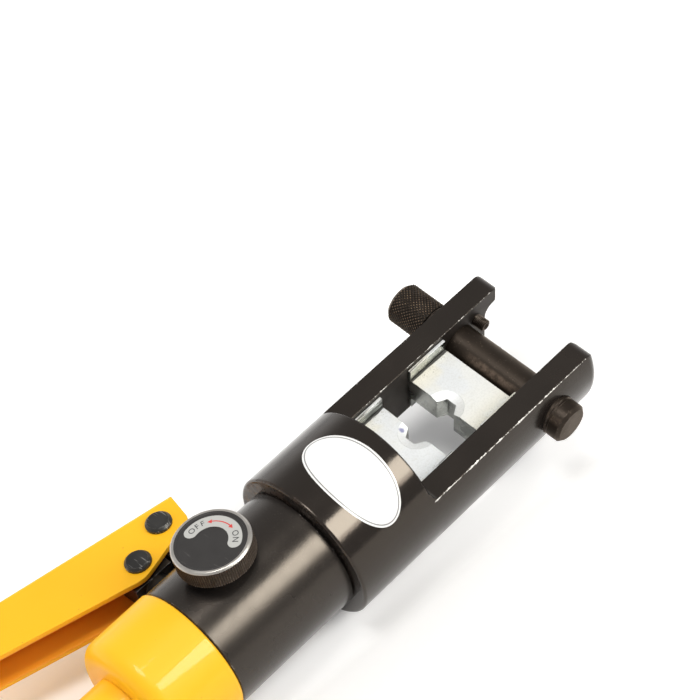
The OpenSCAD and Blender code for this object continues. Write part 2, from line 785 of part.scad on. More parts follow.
// Ribbed rubber sleeve along X from x0 to x1, closed and rounded at its rear end
module grip_sleeve(x0, x1, r, hole_r, end_wall) {
    pitch = (x1 - x0 - 2 * grip_collar) / grip_ribs;
    difference() {
        x_turned() difference() {
            bar_half(x0, x1, r, grip_round);
            edge_cut(r, x0, edge);
            for (i = [0:grip_ribs - 1])
                translate([r, x0 + grip_collar + (i + 0.5) * pitch]) circle(rib_depth);
        }
        x_cyl(x0 - over, x1 - end_wall, hole_r);
    }
}
module lever_grip() {
    color("#1a1a1a") on_lever() translate([0, tongue_y, 0])
        grip_sleeve(lever_len - lever_grip_len, lever_len, lever_grip_d / 2, lever_tube_r + seat,
            grip_end_wall);
}
module rivet(u, w) {
    z0 = channel_h / 2 + seat;
    z1 = z0 + rivet_head_h;
    bevel = rivet_head_h / 2;
    top_r = rivet_head_r - bevel;
    color("#26282c") on_lever() translate([u, w, 0]) rotate_extrude() polygon([
        [0, -z1], [top_r, -z1], [rivet_head_r, bevel - z1], [rivet_head_r, -z0], [rivet_r, -z0],
        [rivet_r, z0], [rivet_head_r, z0], [rivet_head_r, z1 - bevel], [top_r, z1], [0, z1]
    ]);
}
module pivot_rivet() {
    rivet(0, 0);
}
module plunger_rivet() {
    rivet(plunger_back, plunger_in);
}

// Reservoir cap, bladder, handle tube and grip
module reservoir_cap() {
    color("#f0a818") difference() {
        x_turned() difference() {
            union() {
                bar_half(body_rear_x, cap_rear_x, cap_r, cap_round);
                translate([0, cap_rear_x - cap_spigot_len]) square([cap_spigot_r, cap_spigot_len + over]);
            }
            edge_cut(cap_r, body_rear_x, body_chamfer);
        }
        x_cyl(spigot_rear_x, body_rear_x + over, spigot_r + seat);
        x_cyl(cap_rear_x + cap_round, body_rear_x, spigot_r - cavity_wall);
        x_cyl(cap_rear_x - cap_spigot_len - over, body_rear_x, neck_bore_r);
    }
}
module oil_bladder() {
    inner_r = bladder_r - bladder_wall;
    color("#3b3b3b") x_turned() polygon([
        [0, bladder_end_x], [bladder_r / 2, bladder_end_x], [bladder_r, bladder_end_x + bladder_r / 2],
        [bladder_r, bladder_front_x - bladder_flange_t],
        [bladder_flange_r, bladder_front_x - bladder_flange_t],
        [bladder_flange_r, bladder_front_x], [inner_r, bladder_front_x],
        [inner_r, bladder_end_x + bladder_r], [0, bladder_end_x + bladder_r / 2]
    ]);
}
module handle_tube() {
    color("#f0a818") x_ring(tube_end_x, cap_rear_x, tube_r - tube_wall, tube_r);
}
module handle_plug() {
    color("#6d6f72") x_cyl(tube_end_x, tube_end_x + plug_len, tube_r - tube_wall - seat);
}
module handle_grip() {
    color("#1a1a1a") mirror([1, 0, 0])
        grip_sleeve(-handle_end_x - handle_grip_len, -handle_end_x, handle_grip_d / 2, tube_r + seat,
            handle_end_wall);
}

spring_room = cylinder_front_x - piston_front_x;
echo(return_spring_gap = coil_gap(0, spring_room - spring_wire, spring_turns, spring_r, spring_wire));

head_fork();
front_bush();
rod_wiper();
upper_die();
stop_stud();
cylinder_body();
body_seal();
pivot_bracket();
pump_gland();
plunger_seal();
suction_seat();
suction_ball();
delivery_ball();
delivery_spring();
delivery_plug();
relief_ball();
relief_spring();
relief_screw();
valve_bush();
release_ball();
reservoir_cap();
oil_bladder();
handle_tube();
handle_plug();
handle_grip();
return_spring();
ram_piston();
piston_seal();
die_peg();
lower_die();
lock_pin();
pin_grip();
lever_channel();
lever_tube();
lever_grip();
pivot_rivet();
plunger_rivet();
pump_plunger();
valve_knob();
knob_plate();
valve_stem();
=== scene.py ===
import math

import bpy
from mathutils import Matrix, Vector


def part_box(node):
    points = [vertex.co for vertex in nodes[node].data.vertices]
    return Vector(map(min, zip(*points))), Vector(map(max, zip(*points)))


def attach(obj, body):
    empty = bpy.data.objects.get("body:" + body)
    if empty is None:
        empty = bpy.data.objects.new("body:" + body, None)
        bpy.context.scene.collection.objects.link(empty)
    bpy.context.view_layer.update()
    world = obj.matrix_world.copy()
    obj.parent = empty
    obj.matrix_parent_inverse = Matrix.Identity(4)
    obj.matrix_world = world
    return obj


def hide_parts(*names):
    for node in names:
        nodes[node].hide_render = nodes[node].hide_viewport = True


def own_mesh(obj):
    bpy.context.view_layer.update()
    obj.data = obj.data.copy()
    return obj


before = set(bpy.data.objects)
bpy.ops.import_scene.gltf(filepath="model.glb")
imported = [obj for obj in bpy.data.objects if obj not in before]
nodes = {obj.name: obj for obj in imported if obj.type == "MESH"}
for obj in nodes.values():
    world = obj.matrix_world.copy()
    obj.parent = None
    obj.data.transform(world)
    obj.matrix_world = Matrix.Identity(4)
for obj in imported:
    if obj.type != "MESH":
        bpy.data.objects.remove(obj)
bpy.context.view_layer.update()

MM = 0.001
HEAD_TURN = math.radians(14)  # the fork head's turn about X
INTO_HEAD = (-HEAD_TURN, 0, 0)

# Millimetres
HEAD_R = 37.8  # radius of the head's barrel
ARM_INNER = 22.8  # from the axis to an arm's inner face
PIN_X = 34.2  # station of the lock pin
GRIP_FROM = 38.1  # where the pin's grip begins, along the pin
VALVE_X = -133.8  # station of the release valve
KNOB_TOP = 46.0  # height of the knob's rim
KNOB_PLATE_TOP = KNOB_TOP - 0.2
GRIP_TEETH = 34

WARM_SHEEN = (1.0, 0.86, 0.73, 1.0)  # tint of the reflections in dark finishes


def from_head(x, y, z):
    """A place or direction of the head's turned frame, in the tool's frame."""
    c, s = math.cos(HEAD_TURN), math.sin(HEAD_TURN)
    return (x, y * c - z * s, y * s + z * c)


# Shader graphs


class Graph:
    """A material whose nodes are added by short calls.

    Positions are the object's own, in metres.
    """

    def __init__(self, name):
        self.material = bpy.data.materials.new(name)
        self.material.use_nodes = True
        self.tree = self.material.node_tree
        self.tree.nodes.clear()
        self.output = self.add("ShaderNodeOutputMaterial")
        self.shader = self.add("ShaderNodeBsdfPrincipled")
        self.link(self.shader.outputs["BSDF"], self.output.inputs["Surface"])
        self.place = self.add("ShaderNodeTexCoord").outputs["Object"]

    def add(self, kind, **values):
        node = self.tree.nodes.new(kind)
        for key, value in values.items():
            setattr(node, key, value)
        return node

    def link(self, source, target):
        self.tree.links.new(source, target)

    def put(self, value, socket):
        if isinstance(value, bpy.types.NodeSocket):
            self.link(value, socket)
        else:
            socket.default_value = value

    def set(self, **values):
        for key, value in values.items():
            self.put(value, self.shader.inputs[key.replace("_", " ")])

    def math(self, operation, a, b=0.0, clamp=False):
        node = self.add("ShaderNodeMath", operation=operation, use_clamp=clamp)
        self.put(a, node.inputs[0])
        self.put(b, node.inputs[1])
        return node.outputs[0]

    def plus(self, a, b, clamp=False):
        return self.math("ADD", a, b, clamp)

    def minus(self, a, b):
        return self.math("SUBTRACT", a, b)

    def times(self, a, b):
        return self.math("MULTIPLY", a, b)

    def most(self, a, b):
        return self.math("MAXIMUM", a, b)

    def absolute(self, a):
        return self.math("ABSOLUTE", a)

    def dot(self, a, b):
        node = self.add("ShaderNodeVectorMath", operation="DOT_PRODUCT")
        self.put(a, node.inputs[0])
        self.put(b, node.inputs[1])
        return node.outputs["Value"]

    def distance(self, first, second):
        """How far two coordinates, each given with a value, are from these values."""
        off = [self.math("POWER", self.minus(c, v), 2.0) for c, v in (first, second)]
        return self.math("SQRT", self.plus(*off))

    def stretched(self, scale, turn=(0, 0, 0)):
        node = self.add("ShaderNodeMapping")
        node.inputs["Scale"].default_value = scale
        node.inputs["Rotation"].default_value = turn
        self.link(self.place, node.inputs["Vector"])
        return node.outputs[0]

    def noise(self, scale, detail=3.0, rough=0.55, place=None):
        node = self.add("ShaderNodeTexNoise")
        node.inputs["Scale"].default_value = scale
        node.inputs["Detail"].default_value = detail
        node.inputs["Roughness"].default_value = rough
        self.link(place or self.place, node.inputs["Vector"])
        return node.outputs[0]

    def range(self, value, low, high, out_low=0.0, out_high=1.0):
        """A smooth step from out_low, where value is low, to out_high, where it is high."""
        node = self.add("ShaderNodeMapRange", clamp=True, interpolation_type="SMOOTHSTEP")
        keys = ("Value", "From Min", "From Max", "To Min", "To Max")
        for key, v in zip(keys, (value, low, high, out_low, out_high)):
            self.put(v, node.inputs[key])
        return node.outputs[0]

    def mix(self, share, a, b):
        node = self.add("ShaderNodeMix", data_type="RGBA")
        self.put(share, node.inputs[0])
        for value, socket in ((a, node.inputs[6]), (b, node.inputs[7])):
            self.put(value if isinstance(value, bpy.types.NodeSocket) else (*value, 1), socket)
        return node.outputs[2]

    def split(self, vector):
        node = self.add("ShaderNodeSeparateXYZ")
        self.link(vector, node.inputs[0])
        return node.outputs

    def line_wear_and_shade(self, a, b, at, reach):
        """1 near the line where a is at[0] and b is at[1], out to a reach that may vary. It marks
        worn paint, and painted shade in a corner.
        """
        far = self.distance((a, at[0]), (b, at[1]))
        return self.range(self.minus(far, reach), 0.00012, -0.00005)

    def facing(self, direction):
        """How far the surface faces a direction of the object's own space."""
        return self.dot(self.add("ShaderNodeTexCoord").outputs["Normal"], direction)

    def bevelled(self, radius):
        """The normal, with edges rounded to a radius."""
        node = self.add("ShaderNodeBevel", samples=6)
        node.inputs["Radius"].default_value = radius
        return node.outputs[0]

    def edge_wear_and_shade(self, radius, sharpness, noise, share):
        """1 on edges sharper than a radius, where a noise is high enough. It marks worn edges, and
        painted shade along edges.
        """
        true = self.add("ShaderNodeNewGeometry").outputs["Normal"]
        turned = self.dot(self.bevelled(radius), true)
        edges = self.range(self.minus(1.0, turned), *sharpness)
        return self.times(edges, self.range(noise, *share))

    def bump(self, height, distance, strength=1.0, round_edges=0.0):
        node = self.add("ShaderNodeBump")
        node.inputs["Strength"].default_value = strength
        node.inputs["Distance"].default_value = distance
        self.link(height, node.inputs["Height"])
        if round_edges:
            self.link(self.bevelled(round_edges), node.inputs["Normal"])
        self.link(node.outputs[0], self.shader.inputs["Normal"])


def head_space(g):
    """Coordinates turned with the head: X along the tool, Y across the arms, Z up from them."""
    return g.split(g.stretched((1, 1, 1), INTO_HEAD))


def black_paint():
    """Gloss black of the head, chipped along the arms and rusty at the rear rim."""
    dark, light, bare = (0.0075, 0.0062, 0.0056), (0.0135, 0.0108, 0.0095), (0.78, 0.76, 0.72)
    dusty, rusty = (0.050, 0.040, 0.034), (0.060, 0.034, 0.021)
    right_outer_edge, left_inner_edge = (-0.0342, 0.0161), (0.0228, 0.0163)

    g = Graph("black_paint")
    x, y, z = head_space(g)
    broad = g.noise(28, 4)
    fine = g.noise(700, 3)
    waves = g.noise(95, 2)
    wander = g.plus(g.times(g.noise(190, 3, 0.6), 0.6), g.times(g.noise(950, 3, 0.7), 0.4))

    reach = g.range(wander, 0.34, 0.72, -0.0002, 0.00065)
    outer = g.line_wear_and_shade(y, z, right_outer_edge, reach)
    reach = g.range(wander, 0.39, 0.68, -0.0003, 0.0005)
    inner = g.line_wear_and_shade(y, z, left_inner_edge, reach)
    on_arms = g.range(x, -0.0450, -0.0435)
    chips = g.times(g.most(outer, inner), on_arms)
    sparse = g.edge_wear_and_shade(0.0010, (0.015, 0.06), wander, (0.60, 0.65))
    chips = g.most(chips, g.times(sparse, g.range(x, -0.090, -0.080)))

    rear_face = g.range(g.facing((-1, 0, 0)), 0.3, 0.8)
    turn = g.add("ShaderNodeCombineXYZ")
    g.link(g.math("ARCTAN2", y, z), turn.inputs[0])
    rays = g.range(g.noise(26, 3, 0.6, place=turn.outputs[0]), 0.45, 0.70, 0.0, 0.5)
    rear_rim = g.range(x, -0.0912, -0.0934)
    rust = g.times(rear_rim, g.range(g.noise(140, 4), 0.35, 0.75))
    rust = g.times(rust, g.range(y, -0.010, 0.020, 0.15, 1.0))

    paint = g.mix(broad, dark, light)
    paint = g.mix(g.times(rear_face, rays), paint, dusty)
    paint = g.mix(g.times(rust, 0.7), paint, rusty)
    g.set(Base_Color=g.mix(chips, paint, bare))
    g.set(Metallic=g.times(chips, 0.3), Specular_Tint=WARM_SHEEN)

    left_inside = g.range(g.facing(from_head(0, -1, 0)), 0.8, 0.95)
    left_inside = g.times(left_inside, g.range(y, 0.0, 0.01))
    flats = g.times(g.range(x, -0.0445, -0.042), 0.10)
    rough = g.plus(g.range(broad, 0.35, 0.70, 0.11, 0.18), flats)
    rough = g.plus(rough, g.times(g.most(rust, left_inside), 0.3))
    g.set(Roughness=g.plus(rough, g.times(chips, 0.3), clamp=True))
    skin = g.plus(g.times(fine, 0.22), g.times(waves, 0.9))
    g.bump(g.plus(skin, g.times(chips, -0.4)), 0.00012, 0.7, 0.0006)
    return g.material


def body_paint():
    """Satin black of the cylinder body."""
    dark, light = (0.0105, 0.0090, 0.0083), (0.0175, 0.0150, 0.0138)
    grey_speck, bare = (0.13, 0.115, 0.10), (0.50, 0.46, 0.42)

    g = Graph("body_paint")
    broad = g.noise(32, 4)
    fine = g.noise(1500, 3)
    waves = g.noise(130, 3)
    specks = g.range(g.noise(2600, 2), 0.68, 0.76)
    edge = g.edge_wear_and_shade(0.0007, (0.03, 0.12), g.noise(300, 3), (0.55, 0.68))
    paint = g.mix(broad, dark, light)
    paint = g.mix(g.times(specks, 0.4), paint, grey_speck)
    g.set(Base_Color=g.mix(edge, paint, bare))
    g.set(Roughness=g.range(broad, 0.3, 0.7, 0.21, 0.29), Specular_Tint=WARM_SHEEN)
    g.bump(g.plus(g.times(fine, 0.15), waves), 0.00010, 0.6, 0.0005)
    return g.material


def yellow_paint(name, painted_channel_shade=False):
    """Gloss yellow; for the lever, a redder inner side of its channel is painted in as the shade
    and orange bounced light inside it.
    """
    low, high, inner = (0.91, 0.455, 0.010), (0.95, 0.505, 0.016), (0.88, 0.31, 0.025)
    brown_speck, bare = (0.35, 0.15, 0.02), (0.25, 0.16, 0.07)
    web_outward = (0.225, 0.974, 0)

    g = Graph(name)
    broad = g.noise(20, 3)
    peel = g.noise(420, 2)
    specks = g.range(g.noise(520, 3), 0.735, 0.76)
    edge = g.edge_wear_and_shade(0.0008, (0.02, 0.10), g.noise(260, 4), (0.60, 0.70))
    paint = g.mix(broad, low, high)
    if painted_channel_shade:
        # Painted shade: the channel's inner faces turn a redder orange, standing in for their
        # shade and the light bounced between them.
        inside = g.range(g.absolute(g.split(g.place)["Z"]), 0.0090, 0.0070)
        inside = g.times(inside, g.range(g.facing(web_outward), 0.5, 0.2))
        paint = g.mix(inside, paint, inner)
    paint = g.mix(g.times(specks, 0.5), paint, brown_speck)
    g.set(Base_Color=g.mix(g.times(edge, 0.7), paint, bare))
    g.set(Roughness=g.range(broad, 0.3, 0.7, 0.42, 0.52), Coat_Weight=0.22, Coat_Roughness=0.05)
    g.set(Specular_IOR_Level=0.20)
    g.bump(peel, 0.00004, 0.35, 0.0006)
    return g.material


def zinc_plate():
    """Zinc of the dies, pale on top, stained and dirty along the cheeks; painted shade darkens the
    walls, the cheek corners and the top's sharp edges, and painted light lifts the cones.
    """
    cool, straw, stained = (0.70, 0.72, 0.73), (0.72, 0.70, 0.61), (0.54, 0.52, 0.44)
    cone_painted_light, mottled, gritty = (0.82, 0.83, 0.82), (0.40, 0.40, 0.36), (0.20, 0.19, 0.13)
    wall_shade_dark, wall_shade_light = (0.29, 0.30, 0.28), (0.47, 0.48, 0.45)
    grime_and_shade, violet = (0.030, 0.029, 0.025), (0.12, 0.12, 0.30)
    groove, blot_x, blot_y = (0.0211, 0.0072), -0.0221, 0.0063

    g = Graph("zinc_plate")
    x, y, z = head_space(g)
    across = g.absolute(y)
    upward = g.facing(from_head(0, 0, 1))
    top = g.range(upward, 0.45, 0.75)
    # Painted light: the tilted relief cones are mixed towards a paler zinc.
    cone = g.range(upward, 0.985, 0.95, 0.0, 0.30)
    cloud = g.noise(90, 4, 0.6)
    grain = g.noise(1600, 2, place=g.stretched((1, 0.06, 1), INTO_HEAD))
    streaks = g.noise(700, 3, 0.6, place=g.stretched((0.05, 1, 1), INTO_HEAD))

    near_cheeks = g.range(across, 0.006, 0.020, 0.35, 1.0)
    metal = g.mix(g.times(g.range(g.noise(45, 3), 0.40, 0.60), near_cheeks), cool, straw)
    stain = g.range(g.noise(130, 4), 0.60, 0.72)
    metal = g.mix(g.times(stain, 0.35), metal, stained)
    metal = g.mix(cone, metal, cone_painted_light)
    metal = g.mix(g.range(g.noise(1100, 3, 0.6), 0.42, 0.66, 0.0, 0.16), metal, mottled)
    grit = g.range(g.noise(1500, 3, 0.7), 0.56, 0.66)
    grit = g.times(grit, g.range(across, 0.0125, 0.0205, 0.0, 0.75))
    metal = g.mix(grit, metal, gritty)
    # Painted shade: faces that don't look up get a darker zinc than the top.
    shaded_wall = g.mix(g.range(cloud, 0.35, 0.65), wall_shade_dark, wall_shade_light)
    metal = g.mix(top, shaded_wall, metal)

    # Painted shade: a dark line in the corner at the foot of each cheek; smear is real streaky
    # dirt on the cheeks.
    corner = g.line_wear_and_shade(across, z, groove, g.range(streaks, 0.35, 0.70, 0.0005, 0.0015))
    smear = g.times(g.range(across, 0.0190, 0.0212), g.range(streaks, 0.52, 0.62))
    dirt_and_shade = g.most(g.times(corner, 0.92), g.times(smear, 0.75))
    dirt_and_shade = g.times(dirt_and_shade, g.range(g.absolute(g.facing((1, 0, 0))), 0.3, 0.1))
    dirt_and_shade = g.times(dirt_and_shade, g.range(z, 0.0055, 0.0068))
    # Painted shade: thin dark lines on the sharp edges of the top faces, such as the cones' rims.
    outline = g.edge_wear_and_shade(0.0004, (0.0015, 0.012), cloud, (0.35, 0.6))
    dirt_and_shade = g.most(dirt_and_shade, g.times(g.times(outline, top), 0.35))
    metal = g.mix(dirt_and_shade, metal, grime_and_shade)
    blot = g.plus(g.distance((x, blot_x), (y, blot_y)), g.times(g.noise(500, 3), 0.0016))
    spot = g.range(blot, 0.0024, 0.0013)
    g.set(Base_Color=g.mix(g.times(spot, 0.80), metal, violet))
    g.set(Metallic=g.range(top, 0.0, 1.0, 1.0, 0.25))
    rough = g.plus(g.range(top, 0.0, 1.0, 0.22, 0.42), g.range(cloud, 0.3, 0.7, 0.0, 0.12))
    g.set(Roughness=g.plus(rough, g.times(dirt_and_shade, 0.2), clamp=True))
    g.bump(g.plus(grain, g.times(cloud, 0.6)), 0.00002, 0.5, 0.0004)
    return g.material


def pin_oxide():
    """Brown-black oxide, with a painted highlight: a paler, speckled band along one flank of the
    lock pin.
    """
    dark, light = (0.0125, 0.0092, 0.0070), (0.027, 0.0195, 0.0145)
    highlight_brown, pale_speck, bare = (0.175, 0.128, 0.096), (0.26, 0.20, 0.15), (0.30, 0.25, 0.21)
    flank_outward = from_head(-0.69, 0, 0.72)

    g = Graph("pin_oxide")
    y = head_space(g)[1]
    broad = g.noise(70, 4)
    speck = g.range(g.noise(900, 3, 0.6), 0.62, 0.72)
    turning = g.noise(1200, 2, place=g.stretched((0.15, 1, 0.15), INTO_HEAD))
    edge = g.edge_wear_and_shade(0.0007, (0.03, 0.14), g.noise(260, 3), (0.42, 0.62))
    # Painted highlight: a paler band on the faces turned towards flank_outward, fading out near
    # the left arm and dimmer near the right one.
    flank = g.range(g.facing(flank_outward), 0.962, 0.999)
    length = g.times(g.range(y, 0.017, 0.003), g.range(y, -0.0235, -0.010, 0.45, 1.0))
    painted_highlight = g.times(flank, length)
    painted_highlight = g.times(painted_highlight, g.range(g.noise(420, 4, 0.7), 0.30, 0.72, 0.25, 1.0))
    skin = g.mix(broad, dark, light)
    skin = g.mix(g.times(painted_highlight, 0.9), skin, highlight_brown)
    skin = g.mix(g.times(speck, g.range(painted_highlight, 0.0, 1.0, 0.25, 0.65)), skin, pale_speck)
    g.set(Base_Color=g.mix(g.times(edge, 0.6), skin, bare))
    g.set(Metallic=0.55, Specular_Tint=WARM_SHEEN)
    g.set(Roughness=g.range(broad, 0.3, 0.7, 0.36, 0.48))
    g.bump(g.plus(turning, speck), 0.00002, 0.6, 0.0004)
    return g.material


def knurl_metal(name, low, high, crest, diamonds=None):
    """Knurled steel, paler on its points and dark in its grooves: the points are wear with a
    painted highlight, the grooves painted shade.

    diamonds is (teeth round the pin, pitch along it, start of the knurl), in metres. Without it
    the points and grooves follow the mesh.
    """
    groove = (0.005, 0.004, 0.0035)

    g = Graph(name)
    broad = g.noise(60, 4)
    # Paler points: wear, with a painted highlight on the crests; grooves: painted shade.
    if diamonds:
        teeth, pitch, start = diamonds
        x, y, z = head_space(g)
        round_pin = g.math("ARCTAN2", z, g.minus(x, PIN_X * MM))
        u = g.times(round_pin, teeth / (2 * math.pi))
        v = g.math("DIVIDE", g.minus(y, start), pitch)
        depth = g.most(*(g.math("PINGPONG", way(u, v), 0.5) for way in (g.plus, g.minus)))
        wear_and_highlight = g.times(g.range(depth, 0.20, 0.08), g.range(g.noise(300, 3), 0.36, 0.60))
        groove_shade = g.range(depth, 0.26, 0.40)
    else:
        point = g.add("ShaderNodeNewGeometry").outputs["Pointiness"]
        wear_and_highlight = g.times(g.range(point, 0.52, 0.60), g.range(g.noise(500, 3), 0.42, 0.66))
        groove_shade = g.range(point, 0.47, 0.40)
    skin = g.mix(broad, low, high)
    # Painted shade in the grooves, then the paler points of wear and painted highlight.
    skin = g.mix(g.times(groove_shade, 0.8), skin, groove)
    g.set(Base_Color=g.mix(wear_and_highlight, skin, crest), Metallic=0.6, Specular_Tint=WARM_SHEEN)
    g.set(Roughness=g.range(broad, 0.3, 0.7, 0.34, 0.48))
    g.bump(g.noise(1800, 2), 0.00002, 0.5)
    return g.material


def turned_steel(name, low, high, rough, metallic=1.0):
    """Turned metal with brighter edges."""
    g = Graph(name)
    broad = g.noise(80, 4)
    fine = g.noise(1400, 3)
    edge = g.edge_wear_and_shade(0.0005, (0.03, 0.14), g.noise(300, 3), (0.40, 0.62))
    skin = g.mix(g.range(broad, 0.35, 0.65), low, high)
    bright = tuple(min(0.9, c * 1.6 + 0.08) for c in high)
    g.set(Base_Color=g.mix(g.times(edge, 0.6), skin, bright), Metallic=metallic)
    g.set(Roughness=g.range(fine, 0.3, 0.7, rough - 0.05, rough + 0.08))
    g.bump(fine, 0.00002, 0.5, 0.0004)
    return g.material


def rivet_black():
    """Blackened rivet heads, scratched to grey."""
    dark, light, bare = (0.026, 0.025, 0.024), (0.052, 0.050, 0.047), (0.34, 0.33, 0.31)

    g = Graph("rivet_black")
    broad = g.noise(120, 4)
    scratch = g.noise(900, 2, place=g.stretched((1, 0.08, 1), (0, 0, 0.7)))
    scratch = g.range(scratch, 0.60, 0.68)
    edge = g.edge_wear_and_shade(0.0006, (0.03, 0.14), g.noise(420, 3), (0.40, 0.58))
    skin = g.mix(broad, dark, light)
    skin = g.mix(g.times(scratch, 0.6), skin, bare)
    g.set(Base_Color=g.mix(g.times(edge, 0.5), skin, bare), Metallic=0.55)
    g.set(Roughness=g.range(broad, 0.3, 0.7, 0.30, 0.44))
    g.bump(g.plus(g.noise(600, 3), g.times(scratch, -1.0)), 0.00004, 0.5, 0.0005)
    return g.material


def rubber(name, low, high, rough):
    """Matte rubber with a little dust."""
    dust_grey = (0.16, 0.15, 0.14)

    g = Graph(name)
    broad = g.noise(40, 4)
    fine = g.noise(2200, 3)
    dust = g.range(g.noise(140, 4), 0.55, 0.80)
    skin = g.mix(broad, low, high)
    g.set(Base_Color=g.mix(g.times(dust, 0.22), skin, dust_grey))
    g.set(Roughness=g.range(broad, 0.3, 0.7, rough - 0.06, rough + 0.08))
    g.bump(fine, 0.00003, 0.6, 0.0004)
    return g.material


def printed(name, ink, rough=0.45, mark=(0.3, 0.3, 0.3), share=0.2):
    """Flat print or film with faint scratches in a second colour."""
    g = Graph(name)
    cloud = g.noise(150, 4)
    scratch = g.noise(1100, 2, place=g.stretched((1, 0.07, 1), (0, 0, 0.5)))
    scratch = g.range(scratch, 0.66, 0.76)
    paint = g.mix(cloud, ink, tuple(c * 0.92 for c in ink))
    g.set(Base_Color=g.mix(g.times(scratch, share), paint, mark))
    g.set(Roughness=g.range(cloud, 0.3, 0.7, rough - 0.06, rough + 0.08))
    g.bump(g.noise(1500, 2), 0.00001, 0.4)
    return g.material


MATERIALS = {
    "black_paint": black_paint(),
    "body_paint": body_paint(),
    "yellow_paint": yellow_paint("yellow_paint"),
    "lever_yellow": yellow_paint("lever_yellow", painted_channel_shade=True),
    "zinc_plate": zinc_plate(),
    "pin_oxide": pin_oxide(),
    "rivet_black": rivet_black(),
    "machined_steel": turned_steel(
        "machined_steel", (0.42, 0.43, 0.44), (0.58, 0.58, 0.58), 0.30
    ),
    "dark_steel": turned_steel(
        "dark_steel", (0.040, 0.036, 0.032), (0.085, 0.076, 0.068), 0.36, 0.9
    ),
    "bronze": turned_steel("bronze", (0.42, 0.25, 0.09), (0.56, 0.35, 0.14), 0.34),
    "knob_steel": knurl_metal(
        "knob_steel", (0.030, 0.022, 0.017), (0.052, 0.039, 0.030), (0.34, 0.28, 0.23)
    ),
    "pin_knurl": knurl_metal(
        "pin_knurl", (0.012, 0.0088, 0.0070), (0.022, 0.016, 0.012), (0.24, 0.165, 0.105),
        diamonds=(GRIP_TEETH, 0.00192, GRIP_FROM * MM),
    ),
    "knob_ring": turned_steel("knob_ring", (0.46, 0.435, 0.40), (0.60, 0.57, 0.53), 0.36),
    "knob_face": printed("knob_face", (0.020, 0.0175, 0.0165), 0.50, (0.16, 0.15, 0.14), 0.4),
    "label_grey": printed("label_grey", (0.46, 0.46, 0.44)),
    "label_white": printed("label_white", (0.84, 0.84, 0.83), 0.32, (0.70, 0.69, 0.66), 0.3),
    "print_grey": printed("print_grey", (0.20, 0.20, 0.20)),
    "print_dark": printed("print_dark", (0.045, 0.045, 0.047)),
    "print_red": printed("print_red", (0.60, 0.045, 0.040), 0.42),
    "rubber": rubber("rubber", (0.012, 0.012, 0.012), (0.022, 0.021, 0.020), 0.62),
    "grip_rubber": rubber("grip_rubber", (0.010, 0.010, 0.010), (0.020, 0.019, 0.018), 0.55),
}

# CAD nodes that aren't plain machined steel
NODE_LOOKS = {
    "black_paint": ["head_fork"],
    "body_paint": ["cylinder_body", "pivot_bracket"],
    "yellow_paint": ["reservoir_cap", "handle_tube", "lever_tube"],
    "lever_yellow": ["lever_channel"],
    "dark_steel": ["pump_plunger", "pump_gland"],
    "zinc_plate": ["upper_die", "lower_die"],
    "pin_oxide": ["lock_pin", "pin_grip", "stop_stud", "relief_screw"],
    "rivet_black": ["pivot_rivet", "plunger_rivet"],
    "bronze": ["front_bush", "suction_seat", "delivery_plug"],
    "knob_steel": ["valve_knob"],
    "knob_face": ["knob_plate"],
    "rubber": ["rod_wiper", "body_seal", "plunger_seal", "piston_seal", "oil_bladder"],
    "grip_rubber": ["handle_grip", "lever_grip"],
}


def dress(obj, look):
    obj.data.materials.clear()
    obj.data.materials.append(MATERIALS[look])


for node in nodes.values():
    dress(node, "machined_steel")
for look, names in NODE_LOOKS.items():
    for name in names:
        dress(nodes[name], look)


# Pieces made here


def new_piece(name, verts, faces, look, body, smooth=True):
    """A piece from points in millimetres in the tool's frame."""
    mesh = bpy.data.meshes.new(name)
    mesh.from_pydata([tuple(c * MM for c in v) for v in verts], [], faces)
    mesh.validate()
    mesh.update()
    for polygon in mesh.polygons:
        polygon.use_smooth = smooth
    obj = bpy.data.objects.new(name, mesh)
    bpy.context.scene.collection.objects.link(obj)
    obj.data.materials.append(MATERIALS[look])
    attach(obj, body)
    return obj


def split_sharp(obj, degrees=38):
    """Keeps creases sharper than the angle hard."""
    obj.data.set_sharp_from_angle(angle=math.radians(degrees))


def lathe(rows, around):
    """Closed turned surface about Z, with a flat cap at its first and last row.

    A row is a function of the angle and the point's number that gives (radius, height).
    """
    verts, faces = [], []
    for row in rows:
        for i in range(around):
            a = 2 * math.pi * i / around
            r, h = row(a, i)
            verts.append((r * math.cos(a), r * math.sin(a), h))
    for j in range(len(rows) - 1):
        low, high = j * around, (j + 1) * around
        for i in range(around):
            k = (i + 1) % around
            faces.append((low + i, low + k, high + k, high + i))
    faces.append(tuple(range(around - 1, -1, -1)))
    last = (len(rows) - 1) * around
    faces.append(tuple(range(last, last + around)))
    return verts, faces


def ring_row(r, h):
    """A plain round row for lathe()."""
    return lambda a, i: (r, h)


def on_pin_axis(verts, x, up=0.0):
    """Turns points made about Z to a cross hole of the head, up above the middle of the arms."""
    return [from_head(x - p[0], p[2], p[1] + up) for p in verts]


def triangle_wave(t):
    return abs((t % 1.0) * 2 - 1)


